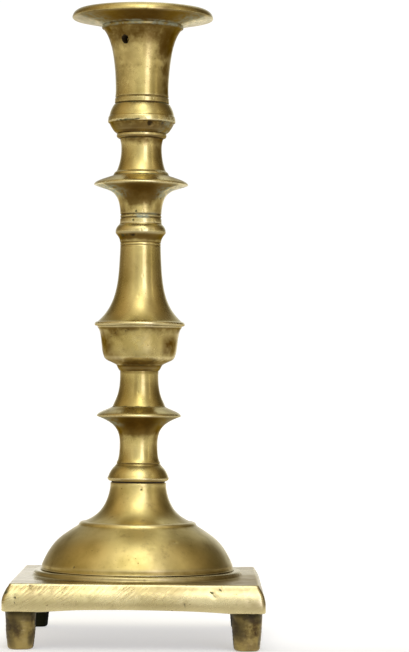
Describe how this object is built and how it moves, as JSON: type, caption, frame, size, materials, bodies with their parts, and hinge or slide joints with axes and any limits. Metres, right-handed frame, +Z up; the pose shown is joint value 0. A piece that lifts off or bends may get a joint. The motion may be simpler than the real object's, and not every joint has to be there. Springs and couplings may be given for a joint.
{
  "type": "candlestick",
  "caption": "Turned brass candlestick with an urn stem, drip pan and candle socket, on a domed square base with peg feet; the stem unscrews and the pan lifts off.",
  "frame": {"origin": "on the table, under the axis of the stem, level with the soles of the feet", "axes": "+Z up along the stem's axis, -Y towards the front, +X to the right seen from the front"},
  "size_m": [0.126, 0.126, 0.3135],
  "materials": {
    "stem_brass": "old polished brass, softly worn, with brown tarnish and green deposit in the grooves",
    "plate_brass": "paler filed brass with slanting file marks and small casting pits",
    "foot_brass": "dull brown tarnished brass with turning rings",
    "washer_leather": "dark, matt",
    "rod_iron": "dark wrought iron with a bright-worn screw thread"
  },
  "bodies": {
    "base": {"base_plate": "plate_brass", "base_dome": "stem_brass", "foot_front_left": "foot_brass", "foot_front_right": "foot_brass", "foot_back_left": "foot_brass", "foot_back_right": "foot_brass"},
    "washer": {"seam_washer": "washer_leather"},
    "stem": {"tie_rod": "rod_iron", "knop": "stem_brass", "lower_stem": "stem_brass", "cup": "stem_brass", "shaft": "stem_brass", "upper_stem": "stem_brass", "nozzle": "stem_brass"},
    "pan": {"drip_pan": "stem_brass"}
  },
  "joints": [
    {"name": "stem_turn", "type": "hinge", "parent": "base", "child": "washer", "pos_m": [0, 0, 0.0776], "axis": [0, 0, 1], "range_deg": [0, 2163]},
    {"name": "stem_rise", "type": "slide", "parent": "washer", "child": "stem", "axis": [0, 0, 1], "range_m": [0, 0.012]},
    {"name": "pan_lift", "type": "slide", "parent": "stem", "child": "pan", "axis": [0, 0, 1], "range_m": [0, 0.015]}
  ],
  "couplings": [
    {"joint": "stem_turn", "follows": "stem_rise", "rad_per_m": 3141.6}
  ]
}
